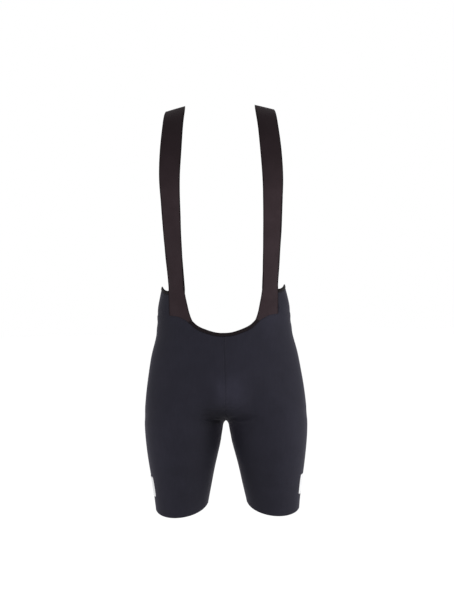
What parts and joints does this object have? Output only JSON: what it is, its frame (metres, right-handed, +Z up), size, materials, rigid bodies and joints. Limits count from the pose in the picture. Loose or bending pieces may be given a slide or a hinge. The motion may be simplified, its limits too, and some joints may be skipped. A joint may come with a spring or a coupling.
{
  "type": "cycling bib shorts",
  "caption": "Close-fitting cycling shorts held up by wide flat shoulder straps, with a deep bound front waist and reflective tabs near the leg hems.",
  "frame": {"origin": "where the straps rest on the shoulders, midway between them, on the plane of symmetry", "axes": "+Z up the wearer's body, -Y the way the wearer faces, +X towards the wearer's left"},
  "size_m": [0.3578, 0.2245, 0.8959],
  "materials": {
    "knit": "smooth matte charcoal navy warp knit with a soft sheen at its turning sides",
    "strap_elastic": "matte brownish black woven elastic",
    "binding": "near-black folded elastic binding",
    "reflective_film": "plain white reflective transfer"
  },
  "bodies": {
    "root": {"shorts_left": "knit", "shorts_right": "knit", "strap_left": "strap_elastic", "strap_right": "strap_elastic", "front_binding": "binding", "back_binding": "binding", "side_binding_left": "binding", "side_binding_right": "binding", "reflective_tab_left": "reflective_film", "reflective_tab_right": "reflective_film"}
  },
  "joints": []
}
